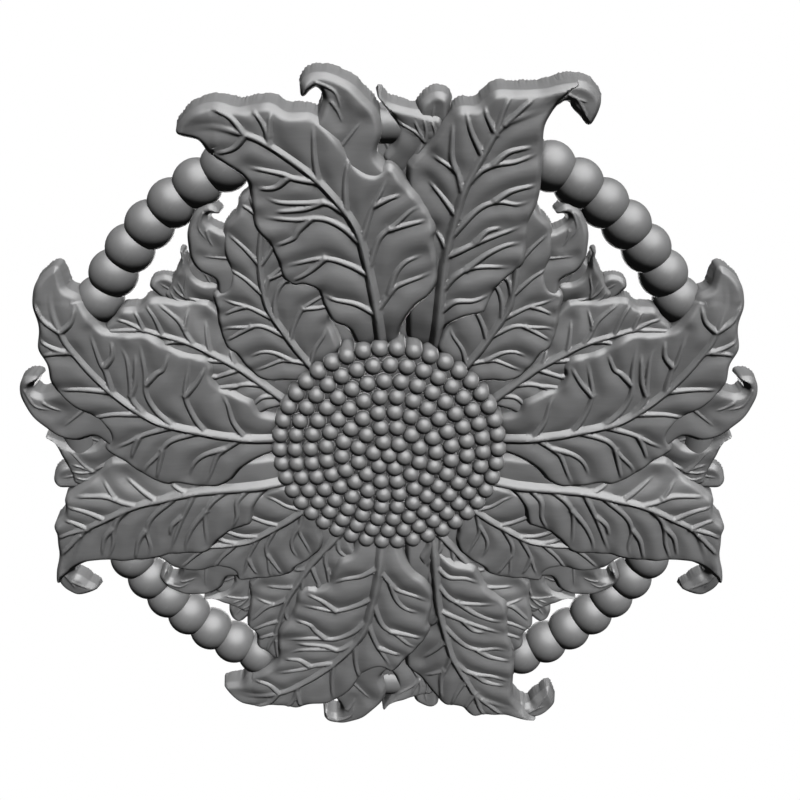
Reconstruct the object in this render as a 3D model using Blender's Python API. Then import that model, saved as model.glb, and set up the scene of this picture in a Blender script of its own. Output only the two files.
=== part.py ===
"""Carved wooden rosette: acanthus sprays crossing a ring of beads, around a domed seed head.

Run with: blender --background --python part.py

The rosette hangs on a wall. Its origin is the middle of its flat back, +Z is up and
its front faces -Y. Dimensions below are in millimetres and are turned to metres once.

One spray of five leaves is drawn upright. It is repeated every 45 degrees: full size on
the four axes and smaller and lower between them, with the left half mirrored from the right.
"""

import math

import bmesh
import bpy
import numpy as np
from mathutils.geometry import delaunay_2d_cdt

MM = 0.001

# Points closer together than this are joined
POINT_MERGE = 0.05

# Ring of beads
RING_RADIUS = 175.0
BEAD_COUNT = 64
BEAD_RADIUS = 13.2
RING_ARC_SIDES = 5
RING_STATIONS_PER_BEAD = 3

# Beads that show between the sprays, counted clockwise from the top of the right half. Under
# the sprays the ring is left plain.
BEADS_IN_VIEW = ((3, 11), (20, 28))

# Depths, measured forward from the plane of the bead centres
BACK_DEPTH = -6.0
LEAF_UNDERSIDE = 0.0
HIDDEN_DEPTH = -2.0
HIDDEN_STAGGER = 0.17
CUT_MARGIN = 30.0

# Share of the joined leaves' faces that is kept, so that the part stays light
LEAF_FACES_KEPT = 0.52

# Seed head
DOME_RADIUS = 60.4
DOME_RIM = 17.0
DOME_TOP = 24.2
SEED_PITCH = DOME_RADIUS / 7
SEED_RADIUS = 4.6
SEED_GAP_DROP = 0.8
SEED_SHOULDER = 0.62
SEED_SIDES = 4
SEEDS_PER_RING = 6
SEED_RING_TURNS = (39.2, 15.2, 7.2, 7.2, 8.8, 0.9, 4.2)
SCALLOP_REACH = 4.6
SEED_HEAD_UNDERSIDE = -2.0

# Round ground behind the seed head and the leaves' feet
GROUND_RADIUS = 78.0
GROUND_DEPTH = 4.0
GROUND_SIDES = 48

# Sprays
SMALL_SPRAY = 0.81
SPRAY_STEP = 45.0
SOCKET_RADIUS = 84.0
SOCKET_SLOPE = 0.30
TOP_SPRAY_LEAN = 2.4

# Carving of a leaf
MARGIN_STEP = 9.0
MARGIN_SWELL = 0.8
MARGIN_DROP = 0.6
PLATEAU_INSET = 4.0
PLATEAU_STEP = 26.0
RIB_TO_MARGIN = 1.0
SEED_TO_MARGIN = 0.6
MIDRIB_HALF_WIDTH = 3.4
MIDRIB_HEIGHT = 2.8
VEIN_HALF_WIDTH = 2.2
VEIN_HEIGHT = 1.7
TIP_TAPER = 0.45

WOOD = (0.23, 0.23, 0.235, 1.0)
WOOD_ROUGHNESS = 0.5

# The leaves of the upright spray, as (x, z) from the ring's middle. A margin runs round the
# leaf by its lobe tips and notches, a midrib runs from the seed head out to the tip.
# "level" is the depth of the leaf's face, and "tuck" how far it sinks under its neighbour,
# between the two x values of "tuck_from" and "tuck_to". "droop" is how far its tip sinks, from
# the share "droop_from" of the midrib on.
FRONT_LEAF = {
    "level": 15.6,
    "droop": 3.0, "droop_from": 0.82,
    "margin": [
        (-103.5, 172.8), (-96, 183), (-84, 187), (-72, 185), (-58, 187), (-49, 183), (-37, 182),
        (-26, 173), (-15, 158), (-7, 154), (1.5, 157.5), (8.5, 149), (17.5, 139), (22.5, 131),
        (23.8, 125), (22.8, 119.5), (25.5, 107), (25.3, 98), (21, 90), (14, 84), (8.5, 76),
        (5, 66), (4, 56), (-14, 56), (-21, 70), (-29, 75), (-33, 83), (-37, 92), (-43, 95.5),
        (-49, 95), (-54, 98.5), (-57.5, 110), (-61.5, 118.5), (-67.5, 128), (-68.5, 144),
        (-71, 152), (-80, 158.5), (-88, 163), (-93, 169.5)],
    "midrib": [(-4, 57), (-7, 87.5), (-11.5, 110), (-16.5, 127), (-26.5, 141.5), (-39, 154.5),
               (-57.5, 168), (-69, 173.5), (-100, 174)],
    "veins": [
        [(-7, 87.5), (-16.5, 85.5), (-32, 90)],
        [(-11.5, 110), (-20, 107), (-32.5, 110.5), (-51, 107)],
        [(-16.5, 127), (-33.5, 131.5), (-60, 132)],
        [(-26.5, 141.5), (-41, 139.5), (-59, 141)],
        [(-39, 154.5), (-53, 154.5), (-67, 157)],
        [(-7, 87.5), (4, 102.5), (16, 112)],
        [(-11.5, 110), (-4.5, 121), (4, 128.5), (17, 137)],
        [(-16.5, 127), (-8.5, 135), (0, 151)],
        [(-26.5, 141.5), (-21, 151), (-18, 163)],
        [(-39, 154.5), (-36, 163.5), (-36, 177)],
        [(-57.5, 168), (-59.5, 176.5), (-64, 183)]],
}
SIDE_LEAF = {
    "level": 15.4,
    "tuck": 5.0, "tuck_from": 38.0, "tuck_to": 14.0,
    "margin": [
        (10, 150), (12, 159), (21, 168), (29, 179), (35, 185), (44, 186), (52, 193), (61, 193),
        (74, 193.5), (84, 195.5), (84.2, 189.5), (76, 176), (76, 164), (76, 149), (75, 140),
        (72, 130),
        (71, 117), (69, 106), (61, 99), (57, 94), (52, 84), (49, 80), (38, 77), (30, 70),
        (27, 56), (12, 56), (10, 80), (10, 110)],
    "midrib": [(24.5, 57), (26, 79), (28, 98), (30, 114), (33.5, 129), (37.5, 144), (48, 165.5),
               (59, 179.5), (81, 189)],
    "veins": [
        [(33.5, 129), (21, 149)],
        [(37.5, 144), (34.5, 154.5), (23, 163)],
        [(48, 165.5), (39, 183)],
        [(26, 79), (34.5, 86.5), (47, 88)],
        [(28, 98), (44.5, 105.5), (61, 106)],
        [(30, 114), (45, 118.5), (66, 127)],
        [(33.5, 129), (44.5, 135.5), (54.5, 140), (70, 140)],
        [(37.5, 144), (54, 159), (70, 163)],
        [(59, 179.5), (66, 187), (70, 190)]],
}
CURLED_TIP = {
    "level": 13.2,
    "droop": 2.0, "droop_from": 0.0,
    "margin": [(76, 190), (82, 195.5), (88, 197), (95, 196.5), (101, 192.5), (103.7, 186.5),
               (99.8, 176.6), (95, 181), (89.3, 187.7), (82, 187)],
    "midrib": [(84, 192), (94, 190), (98.5, 182)],
    "veins": [],
}
HOOK_LEAF = {
    "level": 13.4,
    "margin": [
        (-41, 193), (-40, 197.5), (-35, 201), (-28, 200.5), (-18, 197), (-12, 190.5), (-5, 182),
        (-3, 172), (-6, 163), (0, 152), (-20, 140), (-36, 160), (-36, 176), (-32, 184),
        (-30, 190), (-32, 194), (-36, 195)],
    "midrib": [(-18, 160), (-22, 178), (-25, 190), (-33, 197)],
    "veins": [],
}
BUD_LEAF = {
    "level": 12.0,
    "margin": [(-4, 191), (0, 187), (9, 184), (20, 181), (27, 178), (30, 160), (10, 145),
               (-2, 158), (3, 166), (4.5, 173), (2, 181)],
    "midrib": [(18, 160), (12, 170), (2, 185)],
    "veins": [],
}
BACK_LOBE = {
    "level": 10.4,
    "margin": [(15, 180), (17, 187), (23, 191), (28, 190.5), (30, 186), (29, 172), (14, 170)],
    "midrib": [(21, 174), (23, 187)],
    "veins": [],
}
SPRAY = (FRONT_LEAF, SIDE_LEAF, CURLED_TIP, HOOK_LEAF, BUD_LEAF, BACK_LOBE)


def smooth_through(points, step, closed):
    """Points about a step apart along a Catmull-Rom curve through the given points."""
    p = np.array(points, dtype=float)
    count = len(p)
    out = []
    spans = count if closed else count - 1
    for i in range(spans):
        if closed:
            a, b, c, d = (p[(i + k) % count] for k in (-1, 0, 1, 2))
        else:
            a, b, c, d = (p[min(max(i + k, 0), count - 1)] for k in (-1, 0, 1, 2))
        pieces = max(1, round(float(np.linalg.norm(c - b)) / step))
        for j in range(pieces):
            t = j / pieces
            out.append(0.5 * (2 * b + (c - a) * t + (2 * a - 5 * b + 4 * c - d) * t ** 2
                              + (3 * b - a - 3 * c + d) * t ** 3))
    if not closed:
        out.append(p[-1])
    return np.array(out)


def swollen(outline, distance):
    """A closed outline moved outwards by a distance."""
    ahead = np.roll(outline, -1, axis=0) - np.roll(outline, 1, axis=0)
    ahead /= np.linalg.norm(ahead, axis=1)[:, None]
    outward = np.column_stack((-ahead[:, 1], ahead[:, 0]))
    x, z = outline.T
    clockwise = np.dot(x, np.roll(z, -1)) < np.dot(z, np.roll(x, -1))
    return outline + outward * (distance if clockwise else -distance)


def distance_along(line, at):
    """Distance of each point to a line of points, and how far along the line it is, 0 to 1."""
    starts, ends = line[:-1], line[1:]
    runs = ends - starts
    lengths = np.linalg.norm(runs, axis=1)
    before = np.concatenate(([0.0], np.cumsum(lengths)[:-1]))
    best = np.full(len(at), np.inf)
    along = np.zeros(len(at))
    for start, run, length, done in zip(starts, runs, lengths, before):
        t = np.clip(((at - start) @ run) / length ** 2, 0, 1)
        gap = np.linalg.norm(at - start - t[:, None] * run, axis=1)
        nearer = gap < best
        best[nearer] = gap[nearer]
        along[nearer] = (done + t[nearer] * length)
    return best, along / lengths.sum()


def step_up(value, low, high):
    """0 below low, 1 above high, and a smooth rise between them."""
    t = np.clip((value - low) / (high - low), 0, 1)
    return t * t * (3 - 2 * t)


def leaf_depth(leaf, ribs, margin, at):
    """Depth of a leaf's face at the given points: its level, its rolled margin and its ribs."""
    depth = np.full(len(at), leaf["level"], dtype=float)
    if "tuck" in leaf:
        depth -= leaf["tuck"] * step_up(-at[:, 0], -leaf["tuck_from"], -leaf["tuck_to"])
    if "droop" in leaf:
        _, along = distance_along(ribs[0][0], at)
        depth -= leaf["droop"] * step_up(along, leaf["droop_from"], 1)
    from_middle = np.linalg.norm(at, axis=1)
    depth -= SOCKET_SLOPE * np.clip(SOCKET_RADIUS - from_middle, 0, None)
    closed_margin = np.vstack((margin, margin[:1]))
    inset, _ = distance_along(closed_margin, at)
    depth -= MARGIN_DROP * (1 - step_up(inset, 0, PLATEAU_INSET))
    rise = np.zeros(len(at))
    for line, half_width, height in ribs:
        gap, along = distance_along(line, at)
        taper = 1 - (1 - TIP_TAPER) * along
        rise = np.maximum(rise, height * taper * np.clip(1 - gap / (half_width * taper), 0, 1))
    return depth + rise


def beside(line, half_width):
    """Two lines beside a rib, where it meets the leaf, narrowing with the rib."""
    ahead = np.gradient(line, axis=0)
    ahead /= np.linalg.norm(ahead, axis=1)[:, None]
    across = np.column_stack((-ahead[:, 1], ahead[:, 0]))
    width = half_width * np.linspace(1, TIP_TAPER, len(line))[:, None]
    return line + across * width, line - across * width


def inside(outline, at):
    """Whether each point is inside a closed outline."""
    x, z = at[:, 0], at[:, 1]
    hit = np.zeros(len(at), dtype=bool)
    for a, b in zip(outline, np.roll(outline, -1, axis=0)):
        crosses = (a[1] > z) != (b[1] > z)
        rise = b[1] - a[1] if b[1] != a[1] else 1.0
        hit ^= crosses & (x < a[0] + (z - a[1]) / rise * (b[0] - a[0]))
    return hit


def clear_inside(outline, at, room):
    """The points that are inside an outline and at least that far from it."""
    at = at[inside(outline, at)]
    gap, _ = distance_along(np.vstack((outline, outline[:1])), at)
    return at[gap > room]


def plateau_points(outline, taken, step):
    """Points of a triangular grid inside an outline, clear of it and of the points taken."""
    low, high = outline.min(axis=0), outline.max(axis=0)
    rows = np.arange(low[1], high[1], step * math.sqrt(3) / 2)
    grid = np.array([(x + (k % 2) * step / 2, z)
                     for k, z in enumerate(rows) for x in np.arange(low[0], high[0], step)])
    grid = clear_inside(outline, grid, PLATEAU_INSET)
    gaps = np.linalg.norm(grid[:, None] - taken[None], axis=2).min(axis=1)
    return grid[gaps > step / 2]


def solid_from_face(outline, ribs, loose, depth_at, underside):
    """A closed body: a carved front over an outline, upright sides and a flat underside."""
    points = [tuple(p) for p in outline]
    edges = [(i, (i + 1) % len(outline)) for i in range(len(outline))]
    for rib in ribs:
        edges += [(len(points) + i, len(points) + i + 1) for i in range(len(rib) - 1)]
        points += [tuple(p) for p in rib]
    points += [tuple(p) for p in loose]
    flat, _, faces, _, _, _ = delaunay_2d_cdt(points, edges, [], 1, POINT_MERGE, False)
    flat = np.array([tuple(p) for p in flat])
    middles = np.array([flat[list(face)].mean(axis=0) for face in faces])
    faces = [face for face, within in zip(faces, inside(outline, middles)) if within]
    depths = depth_at(flat)
    mesh = bmesh.new()
    front = [mesh.verts.new((x, -d, z)) for (x, z), d in zip(flat, depths)]
    for face in faces:
        mesh.faces.new([front[i] for i in face])
    rim = [edge for edge in mesh.edges if len(edge.link_faces) == 1]
    extruded = bmesh.ops.extrude_edge_only(mesh, edges=rim)
    lower_edges = [e for e in extruded["geom"] if isinstance(e, bmesh.types.BMEdge)]
    for vert in {v for edge in lower_edges for v in edge.verts}:
        vert.co.y = -underside
    bmesh.ops.edgeloop_fill(mesh, edges=lower_edges)
    loose_verts = [v for v in mesh.verts if not v.link_faces]
    bmesh.ops.delete(mesh, geom=loose_verts, context="VERTS")
    bmesh.ops.triangulate(mesh, faces=mesh.faces[:])
    bmesh.ops.recalc_face_normals(mesh, faces=mesh.faces[:])
    return mesh


def leaf_mesh(leaf, underside):
    """One leaf of the upright spray."""
    margin = swollen(smooth_through(leaf["margin"], MARGIN_STEP, closed=True), MARGIN_SWELL)
    midrib = np.array(leaf["midrib"], dtype=float)
    ribs = [(midrib, MIDRIB_HALF_WIDTH, MIDRIB_HEIGHT)]
    ribs += [(np.array(v, dtype=float), VEIN_HALF_WIDTH, VEIN_HEIGHT) for v in leaf["veins"]]
    crests = [line for line, _, _ in ribs]
    feet = [side for side in beside(midrib, MIDRIB_HALF_WIDTH)]
    feet += [side[1:-1] for line in crests[1:] for side in beside(line, VEIN_HALF_WIDTH)]
    feet = clear_inside(margin, np.vstack(feet), RIB_TO_MARGIN)
    taken = np.vstack(crests + [feet, margin])
    loose = np.vstack((feet, plateau_points(margin, taken, PLATEAU_STEP)))
    return solid_from_face(margin, crests, loose,
                           lambda at: leaf_depth(leaf, ribs, margin, at), underside)


def seed_places():
    """Middles of the seeds: one in the centre and seven rings around it."""
    places = [(0.0, 0.0)]
    for ring, turn in enumerate(SEED_RING_TURNS, start=1):
        count = SEEDS_PER_RING * ring
        for k in range(count):
            angle = math.radians(turn + 360 * k / count)
            radius = ring * SEED_PITCH
            places.append((radius * math.sin(angle), radius * math.cos(angle)))
    return np.array(places)


def seed_head_depth(seeds, at):
    """Depth of the seed head's face: a dome with half balls standing on it."""
    from_middle = np.linalg.norm(at, axis=1)
    dome = DOME_TOP - (DOME_TOP - DOME_RIM) * (from_middle / DOME_RADIUS) ** 2
    gap = np.linalg.norm(at[:, None] - seeds[None], axis=2).min(axis=1)
    ball = np.sqrt(np.clip(SEED_RADIUS ** 2 - gap ** 2, 0, None))
    return dome - SEED_GAP_DROP + ball


def seed_head_mesh():
    """The domed seed head, scalloped where the seeds of the last ring stand on its rim."""
    seeds = seed_places()
    rim_seeds = seeds[-SEEDS_PER_RING * len(SEED_RING_TURNS):]
    outward = rim_seeds / np.linalg.norm(rim_seeds, axis=1)[:, None]
    valleys = (rim_seeds + np.roll(rim_seeds, -1, axis=0)) / 2
    outline = []
    for seed, out, valley in zip(rim_seeds, outward, valleys):
        outline += [seed + out * SCALLOP_REACH, valley]
    outline = np.array(outline)
    shoulders = []
    for seed in seeds:
        start = math.atan2(seed[0], seed[1])
        for k in range(SEED_SIDES):
            angle = start + math.tau * (k + 0.5) / SEED_SIDES
            reach = SEED_RADIUS * SEED_SHOULDER
            shoulders.append(seed + reach * np.array((math.sin(angle), math.cos(angle))))
    places = [tuple(seed) for seed in seeds]
    _, _, triangles, _, _, _ = delaunay_2d_cdt(places, [], [], 0, POINT_MERGE, False)
    hollows = [seeds[list(triangle)].mean(axis=0) for triangle in triangles]
    loose = clear_inside(outline, np.vstack((seeds, shoulders, hollows)), SEED_TO_MARGIN)
    return solid_from_face(outline, [], loose,
                           lambda at: seed_head_depth(seeds, at), SEED_HEAD_UNDERSIDE)


def ground_mesh():
    """The round ground that closes the gaps between the leaves' feet and the seed head."""
    turns = [math.tau * k / GROUND_SIDES for k in range(GROUND_SIDES)]
    outline = GROUND_RADIUS * np.array([(math.sin(turn), math.cos(turn)) for turn in turns])
    middle = np.zeros((1, 2))
    return solid_from_face(outline, [], middle, lambda at: np.full(len(at), GROUND_DEPTH),
                           BACK_DEPTH)


def bead_ring_mesh():
    """The beads as one ring: its section is flat behind, swells at a bead and narrows between."""
    pitch = math.tau / BEAD_COUNT
    stations = []
    for bead in range(BEAD_COUNT):
        from_top = min(bead, BEAD_COUNT - bead)
        in_view = any(first <= from_top <= last for first, last in BEADS_IN_VIEW)
        for k in range(RING_STATIONS_PER_BEAD if in_view else 1):
            offset = (k / RING_STATIONS_PER_BEAD - 0.5) * pitch
            half_chord = RING_RADIUS * math.sin(offset)
            section = math.sqrt(BEAD_RADIUS ** 2 - half_chord ** 2)
            stations.append((bead * pitch + offset, section))
    mesh = bmesh.new()
    loops = []
    for angle, section in stations:
        loop = []
        half_arc = math.pi - math.acos(-BACK_DEPTH / section)
        for k in range(RING_ARC_SIDES + 1):
            turn = math.pi + half_arc * (2 * k / RING_ARC_SIDES - 1)
            radius = RING_RADIUS + section * math.sin(turn)
            depth = -section * math.cos(turn)
            loop.append(mesh.verts.new((radius * math.sin(angle), -depth,
                                        radius * math.cos(angle))))
        loops.append(loop)
    for here, there in zip(loops, loops[1:] + loops[:1]):
        for k in range(RING_ARC_SIDES + 1):
            after = (k + 1) % (RING_ARC_SIDES + 1)
            mesh.faces.new((here[k], here[after], there[after], there[k]))
    bmesh.ops.recalc_face_normals(mesh, faces=mesh.faces[:])
    return mesh


def place(mesh, scale, turn, mirrored, lean):
    """Scale a mesh, turn it clockwise about the ring's middle, mirror it and lean its back up."""
    cos, sin = math.cos(math.radians(turn)), math.sin(math.radians(turn))
    for vert in mesh.verts:
        x, y, z = vert.co * scale
        x, z = x * cos + z * sin, -x * sin + z * cos
        if y > 0:
            z += lean
        vert.co = (-x if mirrored else x, y, z)
    if mirrored:
        bmesh.ops.reverse_faces(mesh, faces=mesh.faces[:])


def add_object(name, mesh, material=None):
    """Turn a mesh in millimetres into an object in metres, on the rosette's flat back."""
    for vert in mesh.verts:
        vert.co.y += BACK_DEPTH
        vert.co *= MM
    data = bpy.data.meshes.new(name)
    mesh.to_mesh(data)
    mesh.free()
    if material:
        data.materials.append(material)
    obj = bpy.data.objects.new(name, data)
    bpy.context.scene.collection.objects.link(obj)
    return obj


def make_guide(obj):
    """Mark an object as a helper that only shapes the rosette."""
    obj.hide_render = True
    obj.display_type = "WIRE"


def cutting_block(name, front_depth):
    """A block that takes away everything behind a depth."""
    mesh = bmesh.new()
    bmesh.ops.create_cube(mesh, size=1.0)
    width = 2 * (RING_RADIUS + BEAD_RADIUS + 2 * CUT_MARGIN)
    for vert in mesh.verts:
        depth = front_depth if vert.co.y < 0 else front_depth - CUT_MARGIN
        vert.co = (vert.co.x * width, -depth, vert.co.z * width)
    block = add_object(name, mesh)
    make_guide(block)
    return block


def shape_with(obj, operation, helper):
    """Join a helper to the object or cut it away, with an exact Boolean."""
    boolean = obj.modifiers.new(helper.name, "BOOLEAN")
    boolean.solver = "EXACT"
    boolean.operation = operation
    if isinstance(helper, bpy.types.Collection):
        boolean.operand_type = "COLLECTION"
        boolean.collection = helper
    else:
        boolean.object = helper


def wood_material():
    """Carved wood under a grey satin paint."""
    material = bpy.data.materials.new("painted wood")
    material.use_nodes = True
    shader = material.node_tree.nodes["Principled BSDF"]
    shader.inputs["Base Color"].default_value = WOOD
    shader.inputs["Roughness"].default_value = WOOD_ROUGHNESS
    shader.inputs["Metallic"].default_value = 0.0
    return material


def build_rosette():
    """The rosette: its leaves joined and cut level behind, then the beads and the seed head."""
    rosette = None
    leaves = bpy.data.collections.new("leaves")
    bpy.context.scene.collection.children.link(leaves)
    sprays = int(360 / SPRAY_STEP)
    for number in range(sprays):
        turn = number * SPRAY_STEP
        mirrored = turn > 180
        if mirrored:
            turn = 360 - turn
        if turn == 180:
            mirrored = True
        scale = 1.0 if number % 2 == 0 else SMALL_SPRAY
        for k, leaf in enumerate(SPRAY):
            stagger = HIDDEN_STAGGER * (k + len(SPRAY) * number)
            underside = HIDDEN_DEPTH - stagger
            mesh = leaf_mesh(leaf, underside / scale)
            place(mesh, scale, turn, mirrored, TOP_SPRAY_LEAN if number == 0 else 0.0)
            if rosette is None:
                rosette = add_object("rosette", mesh, wood_material())
                continue
            piece = add_object(f"leaf_{number}_{k}", mesh)
            make_guide(piece)
            bpy.context.scene.collection.objects.unlink(piece)
            leaves.objects.link(piece)
    shape_with(rosette, "UNION", leaves)
    rosette.modifiers.new("fewer faces", "DECIMATE").ratio = LEAF_FACES_KEPT
    shape_with(rosette, "DIFFERENCE", cutting_block("leaf_underside", LEAF_UNDERSIDE))
    for name, mesh in (("bead_ring", bead_ring_mesh()), ("ground", ground_mesh()),
                       ("seed_head", seed_head_mesh())):
        helper = add_object(name, mesh)
        make_guide(helper)
        shape_with(rosette, "UNION", helper)
    return rosette


def main():
    for obj in list(bpy.data.objects):
        bpy.data.objects.remove(obj, do_unlink=True)
    build_rosette()


main()
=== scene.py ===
"""Looks of the carved wooden rosette, built around its solid.

One upright spray of acanthus leaves is carved as a fine mesh and placed eight times. The bead
ring and the seed head are pieces of their own. All of them stand for the one solid, "rosette".
Lengths in this file are millimetres, except in properties and finished meshes, which are metres.
"""

import math

import bmesh
import bpy
import numpy as np
from bpy.props import FloatProperty, FloatVectorProperty, PointerProperty
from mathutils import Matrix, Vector
from mathutils.geometry import delaunay_2d_cdt
from mathutils.kdtree import KDTree


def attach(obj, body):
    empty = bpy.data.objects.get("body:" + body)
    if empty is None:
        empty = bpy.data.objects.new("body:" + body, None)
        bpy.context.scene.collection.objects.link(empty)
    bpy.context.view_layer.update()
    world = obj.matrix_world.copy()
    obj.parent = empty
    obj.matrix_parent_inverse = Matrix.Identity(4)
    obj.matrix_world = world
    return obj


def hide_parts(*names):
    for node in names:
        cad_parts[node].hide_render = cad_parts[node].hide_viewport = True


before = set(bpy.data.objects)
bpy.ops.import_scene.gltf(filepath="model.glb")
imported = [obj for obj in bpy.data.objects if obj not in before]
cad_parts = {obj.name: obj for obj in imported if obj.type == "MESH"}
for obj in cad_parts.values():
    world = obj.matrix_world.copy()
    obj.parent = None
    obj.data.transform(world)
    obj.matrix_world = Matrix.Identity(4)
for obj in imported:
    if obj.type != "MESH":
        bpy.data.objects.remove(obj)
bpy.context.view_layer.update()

bl_info = {
    "name": "Carved Rosette",
    "version": (1, 0, 0),
    "blender": (4, 5, 0),
    "location": "View3D > Sidebar > Rosette",
    "description": "Builds a carved wooden rosette of acanthus leaves, beads and seeds",
    "category": "Add Mesh",
}

MM = 0.001
NODE = "rosette"

# Depths are measured forward from the plane of the bead centres, and the flat back lies behind it.
# Undersides of leaves that overlap lie a hair apart, so that none coincide.
BACK_DEPTH = -6.0
LEAF_UNDERSIDE = 0.0
UNDERSIDE_STAGGER = 0.01
FULL_TURN = 360.0

# Spacing of points along a leaf's margin, along its ribs and over the rest of its face
MARGIN_STEP = 0.62
RIB_STEP = 1.0
FIELD_STEP = 1.6
# Least distance from a field point to the other points, and from these to the margin
FIELD_ROOM = 0.9
MARGIN_ROOM = 0.1
# Points in one cell become one, and so do points that are nearer than the second value
POINT_CELL = 0.42
POINT_MERGE = 0.01
# The triangulation's mode that keeps what is inside the margin
TRIANGLES_INSIDE = 1
# Rows of points: in from the margin, across a rib in half widths, down a wall as shares
EDGE_INSETS = (0.14, 0.42, 0.85, 1.4, 2.0, 2.8, 3.8, 5.0)
RIB_OFFSETS = (0.0, 0.33, -0.33, 0.67, -0.67, 1.0, -1.0, 1.4, -1.4)
WALL_ROWS = (0.12, 0.36, 0.68, 1.0)
# Edges sharper than this angle stay sharp in the shading
SHARP_ANGLE = 48.0

# Shape of a leaf's relief. A rib narrows to a share of its width at its tip and fades from a
# share of its length onwards.
MARGIN_SWELL = 0.8
PANEL_REACH = 5.0
RIB_ROUNDNESS = 1.5
EDGE_ROUNDNESS = 1.4
RIB_TIP = 0.5
RIB_FADE = 0.72
CREASE_HALF_WIDTH = 1.3
CREASE_HEIGHT = 0.8
SOCKET_EASE = 12.0
# Unevenness of a face, as waves along x, waves along z and phase
RIPPLE_WAVES = ((0.21, 0.13, 0.4), (-0.12, 0.24, 2.1), (0.33, -0.27, 4.4), (0.09, 0.41, 1.3))
# Gouge marks on the walls: their width, the length of a deep stretch, and their share elsewhere
GOUGE_WIDTH = 1.9
GOUGE_STRETCH = 34.0
GOUGE_SHARE = 0.4
# Broader unevenness of the walls, as width, phase and size
WALL_WAVES = ((11.0, 0.2, 0.9), (5.3, 1.7, 0.6), (3.1, 3.9, 0.4))

# The ring of beads. Beads in view are counted from the top, down both sides. The backs of
# neighbouring beads lie at two depths in front of the ring's back. The plain ring has so many
# sides, and so many sections to a bead.
BEADS = 64
BEADS_IN_VIEW = ((3, 11), (20, 28))
BEAD_SEGMENTS = 36
BEAD_ROWS = 20
BEAD_BACKS = (0.25, 0.5)
PLAIN_RING_SIDES = 20
PLAIN_RING_SECTIONS = 3

# The seed head. Each ring of seeds is turned by its own angle. A seed ends behind its centre by
# a share of its radius. The outer seeds and the dome end inside the round ground, whose edge
# steps in from the rim and back from the face.
SEED_RING_TURNS = (39.2, 15.2, 7.2, 7.2, 8.8, 0.9, 4.2)
SEED_RINGS = len(SEED_RING_TURNS)
SEEDS_PER_RING = 6
SEED_SEGMENTS = 24
SEED_ROWS = 9
SEED_SUNK_SHARE = 0.6
STEM_END = -1.0
DOME_END = -2.0
DOME_SIDES = 126
DOME_ROWS = 24
GROUND_EDGE = ((3.0, 0.0), (1.0, 0.6), (0.0, 2.0))

# Paint of the leaves, beads and seeds. "hollows" sets the painted shade: how far a hollow looks
# around, in metres, and the shares of open sky at which the painted dark starts and is full.
# "squeeze" is how much the grain is squeezed along x, y and z, and "rub" is how far the edges
# are rubbed.
LEAF_PAINT = {"hollows": (0.005, 0.72, 0.18), "squeeze": (1, 1, 7), "rub": 0.5}
BEAD_PAINT = {"hollows": (0.004, 0.72, 0.18), "squeeze": (1, 1, 1), "rub": 0.3}
SEED_PAINT = {"hollows": (0.004, 0.78, 0.2), "squeeze": (1, 1, 1), "rub": 0.3}
# The group that makes the rubbed edges and also the painted shade in the hollows
WEAR_AND_SHADE_NAME = "edge wear and painted shade"
GRAIN_NAME = "grain under paint"
GRAIN_NOISE = {"Detail": 5.0, "Roughness": 0.62}
PATCH_NOISE = {"Scale": 24.0, "Detail": 3.0}
TOOTH_NOISE = {"Detail": 2.0}
TOOTH_SHARE = 0.35
HOLLOW_SAMPLES = 8
NOISE_RANGE = {"From Min": 0.3, "From Max": 0.7}
TONE_RANGE = {"To Min": 0.955, "To Max": 1.045}
SATIN_SMOOTHER = 0.05
SATIN_ROUGHER = 0.06
GRAIN_BUMP = {"Strength": 0.12, "Distance": 0.0004}
# Numbers of a colour mix's sockets
MIX_SHARE = 0
MIX_FIRST = 6
MIX_SECOND = 7
MIX_RESULT = 2

# Place of the camera from the middle of the rosette's back, in radii of the ring
CAMERA_AWAY = 3.611
CAMERA_UP = 0.115
CAMERA_RIGHT = 0.0354
SENSOR_WIDTH = 36.0

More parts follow.
